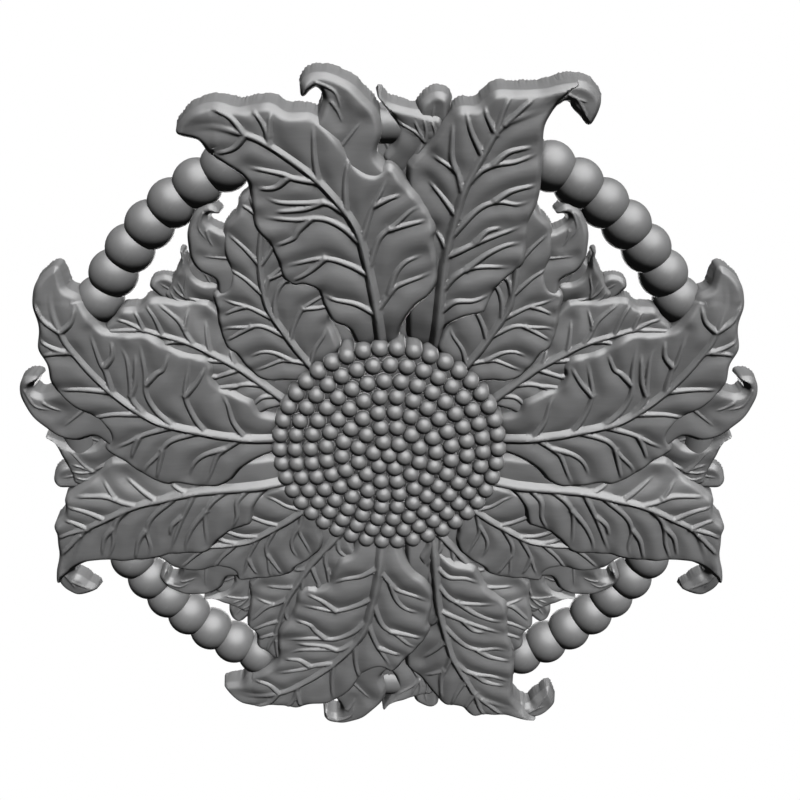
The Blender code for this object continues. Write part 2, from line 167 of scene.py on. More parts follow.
# The leaves of the upright spray, as (x, z) from the ring's middle. "level" is the depth of a
# face. "droop" and "tuck" lower it along the midrib and towards the spray's middle, and "tilt"
# changes it with x and z from a place. "rib_scale" makes a leaf's ribs finer.
FRONT_LEAF = {
    "level": 15.6,
    "droop": 3.0, "droop_from": 0.82,
    "margin": [
        (-103.5, 172.8), (-96, 183), (-84, 187), (-72, 185), (-58, 187), (-49, 183), (-37, 182),
        (-26, 173), (-15, 158), (-7, 154), (1.5, 157.5), (8.5, 149), (17.5, 139), (22.5, 131),
        (23.8, 125), (22.8, 119.5), (25.5, 107), (25.3, 98), (21, 90), (14, 84), (8.5, 76),
        (5, 66), (4, 56), (-14, 56), (-21, 70), (-29, 75), (-33, 83), (-37, 92), (-43, 95.5),
        (-49, 95), (-54, 98.5), (-57.5, 110), (-61.5, 118.5), (-67.5, 128), (-68.5, 144),
        (-71, 152), (-80, 158.5), (-88, 163), (-93, 169.5)],
    "midrib": [(-4, 57), (-4.5, 66), (-7, 87.5), (-11.5, 110), (-16.5, 127), (-26.5, 141.5),
               (-39, 154.5), (-57.5, 168), (-69, 173.5), (-85.5, 177), (-101, 174)],
    "veins": [
        [(-7, 80), (-16.5, 85.5), (-27.5, 88), (-34, 91)],
        [(-10, 101.5), (-20, 107), (-32.5, 110.5), (-46.5, 108), (-54, 106)],
        [(-32.5, 110.5), (-40.5, 103.5), (-50, 98)],
        [(-15, 119.5), (-23, 127), (-33.5, 131.5), (-47.5, 131), (-64, 132.5)],
        [(-39.5, 131), (-45.5, 125), (-48.5, 121), (-58, 117)],
        [(-22, 134.5), (-30.5, 139.5), (-41, 139.5), (-54.5, 140), (-62, 143)],
        [(-32.5, 140), (-42, 136.5), (-58, 135)],
        [(-34.5, 150), (-46.5, 152), (-53, 154.5), (-70, 158)],
        [(-50, 152), (-56, 147.5), (-65, 147)],
        [(-69.5, 173.5), (-75.5, 167), (-85, 164)],
        [(-7, 80), (1, 91.5), (5.5, 96), (16.5, 100.5), (24, 104)],
        [(0.5, 91.5), (4, 102.5), (9.5, 109), (18, 112.5)],
        [(-9.5, 106.5), (-4.5, 121), (4, 128.5), (12, 136), (18, 138)],
        [(1, 126), (14, 129.5), (20, 131)],
        [(-13.5, 119), (-8.5, 135), (-3, 146), (0, 153)],
        [(-6.5, 138.5), (1, 142), (7, 144)],
        [(-21, 134), (-21, 151), (-18, 165)],
        [(-34.5, 150), (-36, 163.5), (-36, 179)],
        [(-57.5, 168), (-59.5, 176.5), (-63.5, 183.5), (-67, 186)],
        [(-58, 173), (-57, 181), (-55.5, 185)],
        [(-70, 174), (-76.5, 182), (-87, 186.5)]],
    "creases": [],
}
SIDE_LEAF = {
    "level": 15.4,
    "tuck": 5.0, "tuck_from": 38.0, "tuck_to": 14.0,
    "margin": [
        (10, 150), (12, 159), (21, 168), (29, 179), (35, 185), (44, 186), (52, 193), (61, 193),
        (74, 193.5), (84, 196), (91.5, 196.8), (88.2, 194.4), (84.2, 189.5), (79, 183),
        (76, 176), (76, 164), (76, 149), (75, 140), (72, 130),
        (71, 117), (69, 106), (61, 99), (57, 94), (52, 84), (49, 80), (38, 77), (30, 70),
        (27, 56), (12, 56), (10, 80), (10, 110)],
    "midrib": [(24.5, 57), (26, 71.5), (28, 98), (30, 114), (33.5, 129), (37.5, 144),
               (42.5, 155), (48, 165.5), (53, 174.5), (59, 179.5), (69, 183.5), (81, 188)],
    "veins": [
        [(30, 114), (27.5, 119.5), (24, 124.5)],
        [(35, 132), (28, 141), (20, 150)],
        [(37.5, 144), (34.5, 154.5), (31, 157.5), (21, 163)],
        [(33.5, 156), (31.5, 163.5), (32, 180)],
        [(47, 163), (41, 175), (38, 186)],
        [(53, 174), (48.5, 182.5), (47, 188)],
        [(53, 174.5), (56.5, 186), (60.5, 193)],
        [(57, 178.5), (66, 187), (72, 192)],
        [(27, 79.5), (34.5, 86.5), (45, 87.5), (54, 91.5)],
        [(28, 92), (35, 101), (44.5, 105.5), (64, 106)],
        [(40.5, 104.5), (50.5, 112.5), (60.5, 117.5), (69, 119)],
        [(30, 111), (45, 118.5), (54.5, 122.5), (69, 128)],
        [(45, 119), (50.5, 125), (58, 127)],
        [(31.5, 121), (44.5, 135.5), (54.5, 140), (65, 139), (73, 141.5)],
        [(54, 140.5), (61.5, 145.5), (75, 149)],
        [(40, 149.5), (46.5, 156), (54, 159), (63.5, 160.5), (75, 165)],
        [(52.5, 159), (59.5, 165), (72, 168)]],
    "creases": [],
}
CURLED_TIP = {
    "level": 12.6,
    "tilt": (-0.12, 0.0), "tilt_from": (84, 190),
    "margin": [(76, 190), (82, 195.5), (88, 197), (95, 196.5), (101, 192.5), (103.7, 186.5),
               (99.8, 176.6), (95, 181), (91.4, 184.5), (89.3, 187.7), (86, 188.5), (82, 187)],
    "midrib": [],
    "veins": [],
    "creases": [[(88, 192), (93.5, 189.5), (98, 188)], [(92.5, 189.5), (96, 184), (98.5, 179)]],
}
HOOK_LEAF = {
    "level": 13.4,
    "margin": [
        (-41, 191.5), (-41, 197), (-38, 200), (-33, 201.3), (-27, 200.5), (-18, 196.5),
        (-11.5, 190.5), (-5.5, 183), (-3.5, 174), (-6, 163), (0, 152), (-20, 140), (-36, 160),
        (-36, 176), (-32.5, 183), (-30.5, 189.5), (-31.5, 193.5), (-34.5, 195.5), (-38, 194)],
    "midrib": [],
    "veins": [],
    "creases": [
        [(-34, 198), (-28.5, 196), (-25, 193.5), (-23.5, 189.5), (-22.5, 185)],
        [(-27, 189), (-24, 184.5), (-22, 179)],
        [(-24, 166), (-19, 172), (-12.5, 180)]],
}
BUD_LEAF = {
    "level": 12.0,
    "tilt": (0.0, 0.16), "tilt_from": (18, 188),
    "rib_scale": 0.62,
    "margin": [(-4, 191), (0, 187), (9, 184), (20, 181), (27, 178), (30, 160), (10, 145),
               (-2, 158), (3, 166), (4.5, 173), (2, 181)],
    "midrib": [(10.5, 150), (13, 158), (18.5, 168.5)],
    "veins": [
        [(18.5, 168.5), (14, 173), (7, 177.5), (3.5, 180.5)],
        [(18.5, 168.5), (15.5, 174), (13, 180)],
        [(18.5, 168.5), (19, 174), (17.5, 181)],
        [(21, 166), (23.5, 173), (21, 180)]],
    "creases": [],
}
BACK_LOBE = {
    "level": 9.0,
    "tilt": (0.0, 0.16), "tilt_from": (22, 188),
    "margin": [(15, 180), (17, 187), (23, 191), (28, 190.5), (30, 186), (29, 172), (14, 170)],
    "midrib": [],
    "veins": [],
    "creases": [[(21, 174), (23, 187)]],
}
HOLLOW_GROUND = {
    "level": 5.5,
    "margin": [(-14, 150), (-12, 172), (-4, 182), (8, 180), (14, 160), (8, 146)],
    "midrib": [],
    "veins": [],
    "creases": [[(-6, 174), (-2, 170), (2, 160)]],
}
SPRAY = (FRONT_LEAF, SIDE_LEAF, CURLED_TIP, HOOK_LEAF, BUD_LEAF, BACK_LOBE, HOLLOW_GROUND)
SPRAY_NAMES = ("top", "top_right", "right", "lower_right", "bottom", "lower_left", "left",
               "top_left")


class RosetteSizes(bpy.types.PropertyGroup):
    """Sizes of the ring and of the sprays."""
    ring_radius: FloatProperty(
        name="Ring radius", description="From the middle to the centres of the beads",
        default=0.175, min=0.05, unit="LENGTH")
    bead_radius: FloatProperty(
        name="Bead radius", description="Radius of one bead", default=0.0132, min=0.002,
        unit="LENGTH")
    plain_ring_radius: FloatProperty(
        name="Plain ring radius", description="Radius of the ring's section under the leaves",
        default=0.0098, min=0.002, unit="LENGTH")
    small_spray: FloatProperty(
        name="Small sprays", description="Size of the sprays between the four large ones",
        default=0.81, min=0.3, max=1.0, subtype="FACTOR")
    top_lean: FloatProperty(
        name="Lean", description="How far the back of the top spray leans up", default=0.0024,
        unit="LENGTH")


class LeafCarving(bpy.types.PropertyGroup):
    """How deep the leaves are carved."""
    edge_width: FloatProperty(
        name="Edge width", description="Width of a leaf's rounded edge", default=0.0028,
        min=0.0005, unit="LENGTH")
    edge_depth: FloatProperty(
        name="Edge depth", description="Depth of that edge", default=0.0032, unit="LENGTH")
    edge_fall: FloatProperty(
        name="Edge fall", description="How far the face falls towards its edge", default=0.0013,
        unit="LENGTH")
    edge_reach: FloatProperty(
        name="Edge reach", description="Width of that fall", default=0.0065, unit="LENGTH")
    panel_puff: FloatProperty(
        name="Panels", description="How far the panels swell between the ribs", default=0.0017,
        unit="LENGTH")
    midrib_width: FloatProperty(
        name="Midrib width", description="Width of the midrib at its foot", default=0.0068,
        unit="LENGTH")
    midrib_height: FloatProperty(
        name="Midrib height", description="Height of the midrib at its foot", default=0.0034,
        unit="LENGTH")
    vein_width: FloatProperty(
        name="Vein width", description="Width of a side vein at its foot", default=0.0044,
        unit="LENGTH")
    vein_height: FloatProperty(
        name="Vein height", description="Height of a side vein at its foot", default=0.0019,
        unit="LENGTH")
    ripple: FloatProperty(
        name="Ripple", description="Height of the hand-cut unevenness", default=0.00022,
        unit="LENGTH")
    wall_flare: FloatProperty(
        name="Wall flare", description="How far a leaf's side walls widen towards the back",
        default=0.0009, unit="LENGTH")
    wall_marks: FloatProperty(
        name="Wall marks", description="Depth of the gouge marks on the side walls",
        default=0.00022, unit="LENGTH")
    socket_radius: FloatProperty(
        name="Socket radius", description="Within this radius the leaves dip to the seed head",
        default=0.084, unit="LENGTH")
    socket_slope: FloatProperty(
        name="Socket slope", description="Slope of that dip", default=0.3)


class SeedHeadSizes(bpy.types.PropertyGroup):
    """Sizes of the seed head."""
    radius: FloatProperty(
        name="Radius", description="From the middle to the centres of the outer seeds",
        default=0.0604, unit="LENGTH")
    seed_radius: FloatProperty(
        name="Seed radius", description="Radius of one seed", default=0.0048, unit="LENGTH")
    rim: FloatProperty(
        name="Rim", description="Depth of the outer seeds' centres", default=0.0162,
        unit="LENGTH")
    top: FloatProperty(
        name="Top", description="Depth of the middle seed's centre", default=0.0234,
        unit="LENGTH")
    skin_drop: FloatProperty(
        name="Skin", description="How far the dome lies behind the seeds' centres",
        default=0.0013, unit="LENGTH")
    ground_radius: FloatProperty(
        name="Ground", description="Radius of the round ground behind the leaves' feet",
        default=0.078, unit="LENGTH")
    ground_depth: FloatProperty(
        name="Ground depth", description="Depth of that ground", default=0.004, unit="LENGTH")


class FinishColours(bpy.types.PropertyGroup):
    """Colours and sheen of the paint."""
    paint: FloatVectorProperty(
        name="Paint", description="Satin grey paint", subtype="COLOR", size=3,
        default=(0.25, 0.25, 0.252), min=0, max=1)
    rubbed: FloatVectorProperty(
        name="Rubbed edges", description="Paint that wear has made lighter", subtype="COLOR",
        size=3, default=(0.34, 0.34, 0.342), min=0, max=1)
    # Painted shade: this dark colour is laid into the hollows in place of the shade that falls
    # there
    painted_shade: FloatVectorProperty(
        name="Hollows", description="Dark paint and dust in the hollows", subtype="COLOR",
        size=3, default=(0.07, 0.07, 0.071), min=0, max=1)
    roughness: FloatProperty(
        name="Roughness", description="Roughness of the satin paint", default=0.42, min=0,
        max=1, subtype="FACTOR")


class StageLook(bpy.types.PropertyGroup):
    """Floor, light and camera."""
    floor_drop: FloatProperty(
        name="Floor", description="Height of the floor below the rosette's middle",
        default=0.9, unit="LENGTH")
    floor_half: FloatProperty(
        name="Floor reach", description="Half of the floor's width", default=8.0,
        unit="LENGTH")
    backdrop_light: FloatProperty(
        name="Backdrop light", description="How much the white backdrop lights the rosette",
        default=0.012)
    key_elevation: FloatProperty(
        name="Key elevation", description="Height of the key light above the horizon",
        default=math.radians(58), subtype="ANGLE")
    key_turn: FloatProperty(
        name="Key turn", description="How far the key light stands to the right",
        default=math.radians(31), subtype="ANGLE")
    key_strength: FloatProperty(
        name="Key strength", description="Strength of the key light", default=3.35)
    key_softness: FloatProperty(
        name="Key softness", description="Width of the key light in the sky",
        default=math.radians(8), subtype="ANGLE")
    sheen_elevation: FloatProperty(
        name="Sheen elevation", description="Height of the light seen as sheen on the paint",
        default=math.radians(64), subtype="ANGLE")
    sheen_turn: FloatProperty(
        name="Sheen turn", description="How far that light stands to the right",
        default=math.radians(34), subtype="ANGLE")
    sheen_strength: FloatProperty(
        name="Sheen strength", description="Strength of that light", default=9.0)
    sheen_softness: FloatProperty(
        name="Sheen softness", description="Width of that light in the sky",
        default=math.radians(80), subtype="ANGLE")
    back_elevation: FloatProperty(
        name="Back elevation", description="Height of the light for the back, below the horizon",
        default=math.radians(-20), subtype="ANGLE")
    back_turn: FloatProperty(
        name="Back turn", description="How far that light stands round to the back",
        default=math.radians(180), subtype="ANGLE")
    back_strength: FloatProperty(
        name="Back strength", description="Strength of that light", default=2.0)
    back_softness: FloatProperty(
        name="Back softness", description="Width of that light in the sky",
        default=math.radians(40), subtype="ANGLE")
    camera_elevation: FloatProperty(
        name="Camera elevation", description="Height of the camera above the horizon",
        default=math.radians(25.93), subtype="ANGLE")
    lens: FloatProperty(
        name="Lens", description="Focal length in millimetres", default=50.0)


def smooth_through(points, step, round_trip=False):
    """Points about a step apart on a Catmull-Rom curve through points, and back if asked."""
    p = np.array(points, dtype=float)
    count = len(p)
    out = []
    for i in range(count if round_trip else count - 1):
        if round_trip:
            a, b, c, d = (p[(i + k) % count] for k in (-1, 0, 1, 2))
        else:
            a, b, c, d = (p[min(max(i + k, 0), count - 1)] for k in (-1, 0, 1, 2))
        pieces = max(1, round(float(np.linalg.norm(c - b)) / step))
        for j in range(pieces):
            t = j / pieces
            out.append(0.5 * (2 * b + (c - a) * t + (2 * a - 5 * b + 4 * c - d) * t ** 2
                              + (3 * b - a - 3 * c + d) * t ** 3))
    if not round_trip:
        out.append(p[-1])
    return np.array(out)


def outward_of(outline):
    """Unit vectors that point out of a closed outline at each of its points."""
    ahead = np.roll(outline, -1, axis=0) - np.roll(outline, 1, axis=0)
    ahead /= np.linalg.norm(ahead, axis=1)[:, None]
    out = np.column_stack((-ahead[:, 1], ahead[:, 0]))
    x, z = outline.T
    clockwise = np.dot(x, np.roll(z, -1)) < np.dot(z, np.roll(x, -1))
    return out if clockwise else -out


def closed(outline):
    """An outline whose first point comes again at its end."""
    return np.vstack((outline, outline[:1]))


def distance_along(line, at):
    """Distance of each point to a line of points, and how far along the line it is, 0 to 1."""
    runs = line[1:] - line[:-1]
    lengths = np.linalg.norm(runs, axis=1)
    before = np.concatenate(([0.0], np.cumsum(lengths)[:-1]))
    best = np.full(len(at), np.inf)
    along = np.zeros(len(at))
    for start, run, length, done in zip(line[:-1], runs, lengths, before):
        t = np.clip(((at - start) @ run) / length ** 2, 0, 1)
        gap = np.linalg.norm(at - start - t[:, None] * run, axis=1)
        nearer = gap < best
        best[nearer] = gap[nearer]
        along[nearer] = done + t[nearer] * length
    return best, along / lengths.sum()


def step_up(value, low, high):
    """0 below low, 1 above high, and a smooth rise between them."""
    t = np.clip((value - low) / (high - low), 0, 1)
    return t * t * (3 - 2 * t)


def inside(outline, at):
    """Whether each point is inside a closed outline."""
    x, z = at[:, 0], at[:, 1]
    hit = np.zeros(len(at), dtype=bool)
    for a, b in zip(outline, np.roll(outline, -1, axis=0)):
        crosses = (a[1] > z) != (b[1] > z)
        rise = b[1] - a[1] if b[1] != a[1] else 1.0
        hit ^= crosses & (x < a[0] + (z - a[1]) / rise * (b[0] - a[0]))
    return hit


def waves(at, table):
    """A gentle unevenness over the plane: a sum of sine waves."""
    x, z = at[:, 0], at[:, 1]
    return sum(np.sin(fx * x + fz * z + phase) for fx, fz, phase in table) / len(table)


def leaf_ribs(leaf, carving):
    """A leaf's ribs as (line, half width, height): midrib, side veins, then creases."""
    ribs = []
    scale = leaf.get("rib_scale", 1.0)
    if leaf["midrib"]:
        ribs.append((leaf["midrib"], carving.midrib_width / MM / 2 * scale,
                     carving.midrib_height / MM * scale))
    for line in leaf["veins"]:
        ribs.append((line, carving.vein_width / MM / 2 * scale, carving.vein_height / MM * scale))
    for crease in leaf["creases"]:
        ribs.append((crease, CREASE_HALF_WIDTH, CREASE_HEIGHT))
    return [(smooth_through(line, RIB_STEP), width, height) for line, width, height in ribs]


def plain_depth(leaf, carving, at):
    """Depth of a leaf's face before it is carved."""
    depth = np.full(len(at), leaf["level"], dtype=float)
    if "tilt" in leaf:
        depth += (at - leaf["tilt_from"]) @ np.array(leaf["tilt"])
    if "tuck" in leaf:
        depth -= leaf["tuck"] * (1 - step_up(at[:, 0], leaf["tuck_to"], leaf["tuck_from"]))
    if "droop" in leaf:
        _, along = distance_along(np.array(leaf["midrib"], dtype=float), at)
        depth -= leaf["droop"] * step_up(along, leaf["droop_from"], 1)
    into_socket = np.clip(carving.socket_radius / MM - np.linalg.norm(at, axis=1), 0, None)
    return depth - carving.socket_slope * into_socket ** 2 / (into_socket + SOCKET_EASE)


def edge_cut(closed_margin, carving, at):
    """How much is cut from a leaf's face at its rounded edge and on the way to it."""
    inset, _ = distance_along(closed_margin, at)
    into_edge = np.clip(1 - inset / (carving.edge_width / MM), 0, 1)
    into_fall = np.clip(1 - inset / (carving.edge_reach / MM), 0, 1)
    return (carving.edge_depth / MM * into_edge ** EDGE_ROUNDNESS
            + carving.edge_fall / MM * into_fall ** 2)


def ribs_and_panels(ribs, carving, at):
    """How far the ribs, and the panels that swell between them, stand out of a leaf's face."""
    rise = np.zeros(len(at))
    swelling = np.full(len(at), carving.panel_puff / MM)
    for line, half_width, height in ribs:
        gap, along = distance_along(line, at)
        taper = 1 - (1 - RIB_TIP) * along
        fade = 1 - step_up(along, RIB_FADE, 1)
        across = np.clip(gap / (half_width * taper), 0, 1)
        rise = np.maximum(rise, height * taper * fade * (1 - across ** 2) ** RIB_ROUNDNESS)
        swelling *= 1 - np.exp(-(gap / PANEL_REACH) ** 2)
    return rise + swelling


def carved_depth(leaf, ribs, margin, carving, at):
    """Depth of a leaf's carved face at the given points."""
    depth = plain_depth(leaf, carving, at)
    depth -= edge_cut(closed(margin), carving, at)
    depth += ribs_and_panels(ribs, carving, at)
    return depth + carving.ripple / MM * waves(at, RIPPLE_WAVES)


def thinned(points, cell):
    """The first point in each cell of a square grid."""
    _, first = np.unique(np.round(points / cell).astype(int), axis=0, return_index=True)
    return points[np.sort(first)]


def rib_points(ribs):
    """Points along the ribs' crests, flanks and feet."""
    out = []
    for line, half_width, _ in ribs:
        ahead = np.gradient(line, axis=0)
        ahead /= np.linalg.norm(ahead, axis=1)[:, None]
        across = np.column_stack((-ahead[:, 1], ahead[:, 0]))
        width = half_width * (1 - (1 - RIB_TIP) * np.linspace(0, 1, len(line)))[:, None]
        out += [line + across * width * offset for offset in RIB_OFFSETS]
    return out


def field_points(outline, taken):
    """Points of a triangular grid inside an outline, away from the points taken."""
    low, high = outline.min(axis=0), outline.max(axis=0)
    rows = np.arange(low[1], high[1], FIELD_STEP * math.sqrt(3) / 2)
    grid = np.array([(x + (k % 2) * FIELD_STEP / 2, z) for k, z in enumerate(rows)
                     for x in np.arange(low[0], high[0], FIELD_STEP)])
    grid = grid[inside(outline, grid)]
    tree = KDTree(len(taken))
    for i, (x, z) in enumerate(taken):
        tree.insert((x, z, 0), i)
    tree.balance()
    clear = [tree.find((x, z, 0))[2] > FIELD_ROOM for x, z in grid]
    return grid[np.array(clear)]


def leaf_points(margin, outward, ribs):
    """Points inside a leaf's margin: beside it, along the ribs, and a field over the rest."""
    near = rib_points(ribs)
    near += [margin - outward * inset for inset in EDGE_INSETS]
    near = thinned(np.vstack(near), POINT_CELL)
    near = near[inside(margin, near)]
    gap, _ = distance_along(closed(margin), near)
    near = near[gap > MARGIN_ROOM]
    return np.vstack((near, field_points(margin, np.vstack((near, margin)))))


def leaf_triangles(margin, loose):
    """A leaf's face cut into triangles that keep to its margin, as points and faces."""
    points = [tuple(p) for p in np.vstack((margin, loose))]
    edges = [(i, (i + 1) % len(margin)) for i in range(len(margin))]
    flat, _, faces, _, _, _ = delaunay_2d_cdt(points, edges, [], TRIANGLES_INSIDE, POINT_MERGE,
                                              False)
    flat = np.array([tuple(p) for p in flat])
    middles = np.array([flat[list(face)].mean(axis=0) for face in faces])
    return flat, [face for face, within in zip(faces, inside(margin, middles)) if within]


def leaf_body(leaf, carving):
    """One leaf as a closed mesh: carved face, rounded edge, gouged side walls, flat underside."""
    margin = smooth_through(leaf["margin"], MARGIN_STEP, round_trip=True)
    margin = margin + outward_of(margin) * MARGIN_SWELL
    outward = outward_of(margin)
    ribs = leaf_ribs(leaf, carving)
    flat, faces = leaf_triangles(margin, leaf_points(margin, outward, ribs))
    depths = carved_depth(leaf, ribs, margin, carving, flat)
    mesh = bmesh.new()
    front = [mesh.verts.new((x, -d, z)) for (x, z), d in zip(flat, depths)]
    for face in faces:
        mesh.faces.new([front[i] for i in face])
    add_walls(mesh, margin, outward, carving)
    loose_verts = [v for v in mesh.verts if not v.link_faces]
    bmesh.ops.delete(mesh, geom=loose_verts, context="VERTS")
    bmesh.ops.triangulate(mesh, faces=mesh.faces[:])
    bmesh.ops.recalc_face_normals(mesh, faces=mesh.faces[:])
    return mesh


def gouge_marks(margin):
    """How far a side wall stands out at each point of the margin, as a share of a mark."""
    runs = np.linalg.norm(np.roll(margin, -1, axis=0) - margin, axis=1)
    around = math.tau * np.concatenate(([0.0], np.cumsum(runs)[:-1])) / runs.sum()
    fine = np.sin(round(runs.sum() / GOUGE_WIDTH) * around)
    stretches = np.clip(np.sin(round(runs.sum() / GOUGE_STRETCH) * around), 0, 1)
    broad = sum(size * np.sin(round(runs.sum() / width) * around + phase)
                for width, phase, size in WALL_WAVES)
    return fine * (GOUGE_SHARE + stretches) + broad


def add_walls(mesh, margin, outward, carving):
    """Side walls under a leaf's edge, with gouge marks that deepen towards the back."""
    marks = gouge_marks(margin)
    tree = KDTree(len(margin))
    for i, (x, z) in enumerate(margin):
        tree.insert((x, z, 0), i)
    tree.balance()
    rim = [edge for edge in mesh.edges if len(edge.link_faces) == 1]
    tops = {v: v.co.copy() for edge in rim for v in edge.verts}
    origin = {v: v for v in tops}
    for share in WALL_ROWS:
        extruded = bmesh.ops.extrude_edge_only(mesh, edges=rim)
        rim = [e for e in extruded["geom"] if isinstance(e, bmesh.types.BMEdge)]
        above = {}
        for vert in {v for edge in rim for v in edge.verts}:
            beside = [edge.other_vert(vert) for edge in vert.link_edges]
            above[vert] = next(origin[other] for other in beside if other in origin)
        origin = above
        for vert, source in origin.items():
            top = tops[source]
            _, near, _ = tree.find((top.x, top.z, 0))
            out = carving.wall_flare / MM * share + carving.wall_marks / MM * marks[near] * share
            vert.co.x = top.x + outward[near][0] * out
            vert.co.z = top.z + outward[near][1] * out
            vert.co.y = top.y + (-LEAF_UNDERSIDE - top.y) * share
    bmesh.ops.edgeloop_fill(mesh, edges=rim)


def mesh_arrays(mesh):
    """A mesh's points and triangles as arrays."""
    mesh.verts.index_update()
    points = np.array([v.co[:] for v in mesh.verts])
    faces = np.array([[v.index for v in face.verts] for face in mesh.faces])
    mesh.free()
    return points, faces


def place_spray(points, number, sizes):
    """The upright spray's points, scaled, turned clockwise and mirrored to their place."""
    turn = number * FULL_TURN / len(SPRAY_NAMES)
    mirrored = turn >= FULL_TURN / 2
    if turn > FULL_TURN / 2:
        turn = FULL_TURN - turn
    placed = points.copy()
    if number % 2:
        placed *= sizes.small_spray
    cos, sin = math.cos(math.radians(turn)), math.sin(math.radians(turn))
    x = placed[:, 0] * cos + placed[:, 2] * sin
    z = -placed[:, 0] * sin + placed[:, 2] * cos
    placed[:, 0] = -x if mirrored else x
    placed[:, 2] = z
    return placed, mirrored


def stagger_underside(points, order):
    """Move a leaf's underside a hair, more for each place in the order."""
    under = points[:, 1] > -LEAF_UNDERSIDE - POINT_MERGE
    points[under, 1] += UNDERSIDE_STAGGER * order


def lean_up(points, level, lean):
    """Lean a leaf's wall up, from nothing at the level of its face to all of it at the back."""
    share = np.clip(1 + points[:, 1] / level, 0, 1)
    points[:, 2] += lean * share


def finished_piece(name, points, faces, material):
    """A named piece of the rosette from points in millimetres, smooth but for its sharp edges."""
    placed = points.copy()
    placed[:, 1] += BACK_DEPTH
    mesh = bpy.data.meshes.new(name)
    mesh.from_pydata([tuple(p) for p in placed * MM], [], [tuple(f) for f in faces])
    mesh.validate()
    mesh.materials.append(material)
    mesh.shade_smooth()
    mesh.set_sharp_from_angle(angle=math.radians(SHARP_ANGLE))
    piece = bpy.data.objects.new(name, mesh)
    bpy.context.scene.collection.objects.link(piece)
    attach(piece, "root")
    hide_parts(NODE)
    # The hollows stay dark: no light bounces from one surface to another.
    piece.visible_diffuse = False
    piece.visible_glossy = False
    return piece


def joined(parts):
    """Several sets of points and faces as one."""
    points, faces, count = [], [], 0
    for part_points, part_faces in parts:
        points.append(part_points)
        faces += [tuple(i + count for i in face) for face in part_faces]
        count += len(part_points)
    return np.vstack(points), faces


def circle(radius, depth, sides):
    """Points of a circle around the middle, at a depth."""
    turns = [math.tau * k / sides for k in range(sides)]
    return [(radius * math.cos(turn), -depth, radius * math.sin(turn)) for turn in turns]


def ball(centre, radius, segments, rows, sunk_to):
    """A ball whose pole faces the front, closed flat at a depth behind its centre."""
    middle_x, middle_depth, middle_z = centre
    last = math.pi / 2 + math.asin(min(1.0, (middle_depth - sunk_to) / radius))
    points = [(middle_x, -(middle_depth + radius), middle_z)]
    for row in range(1, rows + 1):
        angle = last * row / rows
        depth = middle_depth + radius * math.cos(angle)
        points += [(middle_x + x, y, middle_z + z)
                   for x, y, z in circle(radius * math.sin(angle), depth, segments)]
    return np.array(points), rows_to_faces(rows, segments)


def rows_to_faces(rows, segments):
    """Faces of a body made of a pole, rows of points behind it and a flat end."""
    faces = [(0, 1 + k, 1 + (k + 1) % segments) for k in range(segments)]
    for row in range(rows - 1):
        first, second = 1 + row * segments, 1 + (row + 1) * segments
        for k in range(segments):
            after = (k + 1) % segments
            faces.append((first + k, second + k, second + after, first + after))
    end = 1 + (rows - 1) * segments
    faces.append(tuple(end + k for k in reversed(range(segments))))
    return faces


def seed_places(radius):
    """Places of the seeds: one in the middle and rings around it, as (x, z, ring)."""
    places = [(0.0, 0.0, 0)]
    for ring, turn in enumerate(SEED_RING_TURNS, start=1):
        count = SEEDS_PER_RING * ring
        for k in range(count):
            angle = math.radians(turn + FULL_TURN * k / count)
            out = radius * ring / SEED_RINGS
            places.append((out * math.sin(angle), out * math.cos(angle), ring))
    return places


def new_group(name, inputs, outputs):
    """An empty shader node group with named sockets."""
    group = bpy.data.node_groups.new(name, "ShaderNodeTree")
    for label, kind, value in inputs:
        socket = group.interface.new_socket(label, in_out="INPUT", socket_type=kind)
        socket.default_value = value
    for label, kind in outputs:
        group.interface.new_socket(label, in_out="OUTPUT", socket_type=kind)
    entry = group.nodes.new("NodeGroupInput")
    leave = group.nodes.new("NodeGroupOutput")
    return group, entry, leave


def node(tree, kind, links=(), **settings):
    """A node with its settings, and its inputs linked or set by name or number."""
    made = tree.nodes.new(kind)
    inputs = settings.pop("inputs", {})
    for key, value in settings.items():
        setattr(made, key, value)
    for key, value in inputs.items():
        made.inputs[key].default_value = value
    for key, source in links:
        tree.links.new(source, made.inputs[key])
    return made


def wear_and_shade_group():
    """Where edges are rubbed, and where painted shade darkens the hollows, from the shape itself.
    """
    group, entry, leave = new_group(
        WEAR_AND_SHADE_NAME,
        (("Edge Start", "NodeSocketFloat", 0.52), ("Edge End", "NodeSocketFloat", 0.60),
         ("Hollow Reach", "NodeSocketFloat", 0.006), ("Hollow Start", "NodeSocketFloat", 0.72),
         ("Hollow End", "NodeSocketFloat", 0.18), ("Grain", "NodeSocketFloat", 0.5)),
        (("Rubbed", "NodeSocketFloat"), ("Painted Shade", "NodeSocketFloat")))
    shape = node(group, "ShaderNodeNewGeometry")
    edge = node(group, "ShaderNodeMapRange", clamp=True, links=(
        ("Value", shape.outputs["Pointiness"]), ("From Min", entry.outputs["Edge Start"]),
        ("From Max", entry.outputs["Edge End"])))
    uneven = node(group, "ShaderNodeMath", operation="MULTIPLY", links=(
        (0, edge.outputs["Result"]), (1, entry.outputs["Grain"])))
    # Painted shade: the less open sky a point sees, the darker its colour is painted
    shade = node(group, "ShaderNodeAmbientOcclusion", samples=HOLLOW_SAMPLES, links=(
        ("Distance", entry.outputs["Hollow Reach"]),))
    painted_shade = node(group, "ShaderNodeMapRange", clamp=True, links=(
        ("Value", shade.outputs["AO"]), ("From Min", entry.outputs["Hollow Start"]),
        ("From Max", entry.outputs["Hollow End"])))
    group.links.new(uneven.outputs[0], leave.inputs["Rubbed"])
    group.links.new(painted_shade.outputs["Result"], leave.inputs["Painted Shade"])
    return group


